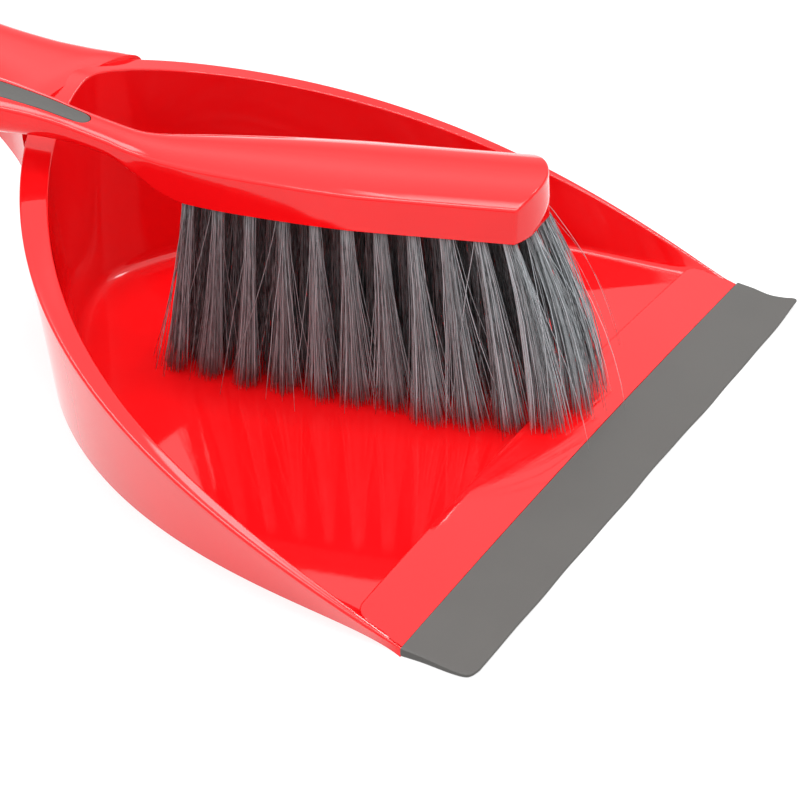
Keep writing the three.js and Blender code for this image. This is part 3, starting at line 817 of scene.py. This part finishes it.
def slab(name, x, y, low, high, soft):
    """A closed slab over a plan grid, with rounded upper edges."""
    middle = y.mean()

    def layer(z, inset):
        narrower = 1 - inset / np.maximum(np.abs(x).max(1, keepdims=True), 0.4)
        shorter = 1 - 2 * inset / (y.max() - y.min())
        grid = [x * clamp(narrower, 0.05, 1), middle + (y - middle) * shorter, z]
        return in_pan(np.stack(grid, -1))

    edge = [(high, soft), (high - 0.3 * soft, 0.3 * soft), (high - soft, 0), (low, 0)]
    layers = [layer(z, inset) for z, inset in edge]
    b = Builder()
    b.grid(layers[0])
    b.grid(layers[-1])
    b.grid(np.stack([border(g) for g in layers]), wrap=True)
    return add_object(name, b.mesh(name))


def grip_inlay():
    """The soft inlay, which follows the top of the handle."""
    x, y = grip_plan(0)
    top = skin_top(x, y)
    return slab("grip_inlay", x, y, top - GRIP_THICKNESS, top + GRIP_PROUD, GRIP_ROUND)


def grip_cutter():
    """The recess for the inlay, with a gap round it and open at its top."""
    x, y = grip_plan(GAP)
    top = skin_top(x, y)
    return slab("grip_cutter", x, y, top - GRIP_THICKNESS - GAP, top + 6, 0.01)


# ---------------------------------------------------------------- bristles


def half_width_at(y):
    """Half width of the brush at one y."""
    return float(smooth_table(BRUSH_STATIONS, [y])[0][0])


def tuft_roots():
    """Roots in the order of the CAD nodes: four staggered rows, then the toe."""
    rows = [
        (-1, WIDE_ROOTS_Y), (-INNER_ROW, STAGGERED_ROOTS_Y),
        (INNER_ROW, INNER_ROOTS_Y), (1, STAGGERED_ROOTS_Y),
    ]
    roots = [(share * (half_width_at(y) - EDGE_INSET), y) for share, ys in rows for y in ys]
    return roots + [(x, TOE_ROOTS_FROM + TOE_BULGE * (x / TOE_HALF) ** 2) for x in TOE_ROOTS_X]


def floor_height(points):
    """Height of the pan's floor, or of its raised strip, under points in the pan's frame."""
    x, y = points[..., 0], points[..., 1]
    return np.where(y < ramp_crest(x) + 0.3, ramp_height(np.minimum(y, ramp_crest(x))), FLOOR_TOP)


def strand_lines(root, rng):
    """Middle lines of one tuft's filaments, from inside the block to the floor."""
    x, y = root
    n = STRANDS
    heel = float(clamp((y - HEEL_FROM) / HEEL_OVER))
    toe = float(clamp(1 - y / TOE_REACH))
    r, a = np.sqrt(rng.random(n)), rng.random(n) * 2 * math.pi
    start_x, start_y = x + HOLE_FILL * r * np.cos(a), y + HOLE_FILL * r * np.sin(a)
    start = np.column_stack([start_x, start_y, np.full(n, ROOT_Z)])
    toe_lean = TOE_OUTWARD * float(ease((58 - y) / 16)) * min(abs(x) / 16, 1)
    middle_x = x * (1 + TIP_OUTWARD + toe_lean)
    middle_y = y - TIP_FORWARD + TIP_FORWARD_SHARE * y - TOE_FORWARD * toe
    spread = TIP_SPREAD - HEEL_LESS_SPREAD * heel
    jitter = rng.normal(0, TIP_JITTER - HEEL_LESS_JITTER * heel, (n, 2))
    fan = np.column_stack([spread * r * np.cos(a), spread * r * np.sin(a)])
    tip = np.array([middle_x, middle_y]) + fan + jitter
    stray = rng.random(n) < STRAY_SHARE
    tip += stray[:, None] * rng.normal(0, STRAY_SPREAD, (n, 2))
    ground = floor_height(in_pan(np.column_stack([tip, np.zeros(n)])))
    uneven = np.abs(rng.normal(0, TIP_UNEVEN, n))
    tip_z = ground + TIP_CLEAR + uneven + stray * rng.random(n) * STRAY_LIFT
    end = np.column_stack([tip, tip_z])
    k = np.linspace(0, 1, STRAND_STEPS)[:, None, None]
    knee = (start + end) / 2
    bow = TOE_BOW * toe - HEEL_BOW * (1 - toe) * rng.random((n, 1))
    knee[:, :2] += (end[:, :2] - start[:, :2]) * bow - FLARE * fan + rng.normal(0, 0.5, (n, 2))
    line = start * (1 - k) ** 2 + knee * 2 * k * (1 - k) + end * k**2
    # A slight crimp: every strand is a little wavy, and straight where its hole holds it.
    phase = rng.random((2, n)) * 2 * math.pi
    waves = rng.uniform(*CRIMP_WAVES, (2, n))
    size = rng.uniform(*CRIMP_SIZE, (2, n))
    held = np.sin(math.pi * np.minimum(k[..., 0] * 1.25, 1))
    for axis in (0, 1):
        angle = phase[axis] + k[..., 0] * waves[axis] * 2 * math.pi
        line[..., axis] += size[axis] * np.sin(angle) * held
    return line, r  # r is 0 for a strand in the middle of its tuft and 1 at its outside


def tuft_mesh(name, root, rng):
    """Separate crimped filaments that leave one hole and fan out towards the floor."""
    line, depth = strand_lines(root, rng)
    line = in_pan(line)
    n, sides = STRANDS, STRAND_SIDES
    inner = abs(root[0]) < 0.5 * (half_width_at(root[1]) - EDGE_INSET) and root[1] > 13
    heel = float(clamp((root[1] - 30) / 90))
    # painted shade: the inner rows, and strands nearer the heel, are darker
    painted_shade = (INNER_PAINTED_SHADE if inner else 1.0) * (1 - HEEL_PAINTED_SHADE * heel)
    thick = rng.uniform(STRAND_RADIUS * 0.8, STRAND_RADIUS * 1.15, n)
    taper = np.ones(STRAND_STEPS)
    taper[-2:] = 0.9, 0.55
    turn = np.arange(sides) * 2 * math.pi / sides
    around = np.stack([np.cos(turn), np.sin(turn), np.zeros(sides)], -1)
    radii = taper[:, None] * thick[None, :]
    points = (line[:, :, None] + around * radii[..., None, None]).transpose(1, 0, 2, 3)
    per = STRAND_STEPS * sides
    tube = [face[::-1] for face in grid_faces(STRAND_STEPS, sides, 0, True)]
    tube += [[0, 1, 2, 3], [per - 1, per - 2, per - 3, per - 4]]
    faces = (np.array(tube)[None] + (np.arange(n) * per)[:, None, None]).reshape(-1, 4)
    mesh = bpy.data.meshes.new(name)
    mesh.from_pydata((points.reshape(-1, 3) * MM).tolist(), [], faces.tolist())
    own = mesh.attributes.new("strand", "FLOAT", "POINT")
    # random grey of each strand, times painted shade that darkens the middle of a tuft
    tones_and_painted_shade = painted_shade * (MIDDLE_PAINTED_SHADE + OUTSIDE_LIGHTER * depth) * rng.beta(0.8, 0.9, n)
    own.data.foreach_set("value", np.repeat(tones_and_painted_shade, per).astype(np.float32))
    mesh.shade_smooth()
    return mesh


# ---------------------------------------------------------------- the pieces

shell = pan_shell()
shade(shell, 40)
finish_piece(shell, "pan", "red_plastic", RED, "pan_body")

ramp = pan_ramp()
shade(ramp, 50)
finish_piece(ramp, "pan", "red_plastic", RED)

handle = pan_handle()
shade(handle, 40)
finish_piece(handle, "pan", "red_plastic", RED)

lip = pan_lip()
shade(lip, 60)
finish_piece(lip, "pan", "grey_rubber", RUBBER, "pan_lip")

body = brush_shell()
cut(body, grip_cutter())
hole = in_pan(hole_rings(BRUSH_HANG_HOLE, BRUSH_HOLE_LOW, BRUSH_HOLE_TOP))
cut(body, closed_loft("brush_hang_cutter", hole))
shade(body, 30)
finish_piece(body, "brush", "red_plastic", RED, "brush_body")

inlay = grip_inlay()
shade(inlay, 50)
finish_piece(inlay, "brush", "grey_rubber", RUBBER, "brush_grip")

rng = np.random.default_rng(20)
for number, root in enumerate(tuft_roots(), 1):
    tuft = add_object(f"bristles_{number:02d}", tuft_mesh(f"bristles_{number:02d}", root, rng))
    finish_piece(tuft, "brush", "bristle_fibre", FIBRE, f"tuft_{number:02d}")

# ---------------------------------------------------------------- stage, light and camera


WHITE = (1, 1, 1, 1)
FLOOR_COLOURS = (0.24, 0.24, 0.24, 1), (0.26, 0.26, 0.26, 1)
FLOOR_GLOW = 0.76  # keeps the floor almost white, with faint shadows
STAGE_HALF, STAGE_Z = 40000.0, -0.05  # wide enough to reach the horizon in low views


def floor_material():
    """A pale, faintly mottled floor that gives off a little light of its own."""
    material, nodes, links, shader, at = node_material("pale_floor")
    mottle = noise(nodes, links, at, scale=3.0, detail=2.0)
    share = mapped(nodes, links, mottle, (0.3, 0.7), (0.0, 1.0))
    links.new(colour_mix(nodes, links, share, *FLOOR_COLOURS), shader.inputs["Base Color"])
    shader.inputs["Roughness"].default_value = 0.7
    shader.inputs["Emission Color"].default_value = WHITE
    shader.inputs["Emission Strength"].default_value = FLOOR_GLOW
    return material


def add_floor():
    corners = ((-1, -1), (1, -1), (1, 1), (-1, 1))
    b = Builder()
    b.polygon([[x * STAGE_HALF, y * STAGE_HALF, STAGE_Z] for x, y in corners])
    floor = add_object("stage_floor", b.mesh("stage_floor"))
    floor.data.materials.append(floor_material())


def add_light(name, at, target, size, power):
    """A square area light that looks at a target."""
    data = bpy.data.lights.new(name, "AREA")
    data.shape = "SQUARE"
    data.size = size
    data.energy = power
    obj = bpy.data.objects.new(name, data)
    obj.location = at
    obj.rotation_euler = (Vector(target) - Vector(at)).to_track_quat("-Z", "Y").to_euler()
    bpy.context.scene.collection.objects.link(obj)
    return obj


GLOW_TOWARDS = (0.06, 0.06, 1.0)  # direction of the ceiling's brightest part
GLOW_EDGE, GLOW_CORE = 0.94, 0.98  # cosines of the glow's outer and inner radius
GLOW_LEVEL = 6.5  # added to the room
HORIZON_LEVEL, ROOM_LEVEL = 0.55, 1.5
DUSK, DAY = 0.3, 0.7  # heights on the unit sky between which the room brightens


def add_world():
    """A bright room, a little darker towards the horizon, with one large soft glow overhead."""
    world = bpy.data.worlds.new("studio")
    world.use_nodes = True
    nodes, links = world.node_tree.nodes, world.node_tree.links
    background = nodes["Background"]
    background.inputs["Color"].default_value = WHITE
    at = nodes.new("ShaderNodeTexCoord").outputs["Generated"]
    facing = nodes.new("ShaderNodeVectorMath")
    facing.operation = "DOT_PRODUCT"
    facing.inputs[1].default_value = Vector(GLOW_TOWARDS).normalized()
    links.new(at, facing.inputs[0])
    glow = mapped(nodes, links, facing.outputs["Value"], (GLOW_EDGE, GLOW_CORE), (0.0, GLOW_LEVEL),
                  "SMOOTHERSTEP")
    split = nodes.new("ShaderNodeSeparateXYZ")
    links.new(at, split.inputs["Vector"])
    room = mapped(nodes, links, split.outputs["Z"], (DUSK, DAY), (HORIZON_LEVEL, ROOM_LEVEL),
                  "SMOOTHERSTEP")
    total = nodes.new("ShaderNodeMath")
    total.operation = "ADD"
    links.new(glow, total.inputs[0])
    links.new(room, total.inputs[1])
    links.new(total.outputs["Value"], background.inputs["Strength"])
    bpy.context.scene.world = world


CAMERA_AT = (-0.48114, -0.23170, 0.38250)
CAMERA_YAW, CAMERA_PITCH, CAMERA_ROLL = 57.4316, 34.2288, -1.1558  # degrees
CAMERA_LENS, SENSOR_WIDTH = 87.568, 36.0  # real millimetres


def add_camera():
    data = bpy.data.cameras.new("camera")
    data.lens = CAMERA_LENS
    data.sensor_width = SENSOR_WIDTH
    data.clip_start = 0.01
    data.clip_end = 100.0
    camera = bpy.data.objects.new("camera", data)
    yaw, pitch, roll = (math.radians(v) for v in (CAMERA_YAW, CAMERA_PITCH, CAMERA_ROLL))
    flat, down = math.cos(pitch), math.sin(pitch)
    ahead = Vector((math.sin(yaw) * flat, math.cos(yaw) * flat, -down))
    level = Vector((math.cos(yaw), -math.sin(yaw), 0))
    above = level.cross(ahead)
    right = level * math.cos(roll) + above * math.sin(roll)
    up = above * math.cos(roll) - level * math.sin(roll)
    turned = Matrix((right, up, -ahead)).transposed().to_4x4()
    camera.matrix_world = Matrix.Translation(CAMERA_AT) @ turned
    bpy.context.scene.collection.objects.link(camera)
    bpy.context.scene.camera = camera


add_floor()
add_light("right_softbox", at=(0.80, -0.22, 1.20), target=(0.02, 0.2, 0.0), size=0.3, power=4.5)
fill = add_light("near_fill", at=(-0.9, -0.5, 0.7), target=(0.0, 0.1, 0.03), size=0.8, power=3.5)
fill.visible_glossy = False  # it brightens the near side without a reflection
add_world()
add_camera()
bpy.context.scene.view_settings.view_transform = "Standard"
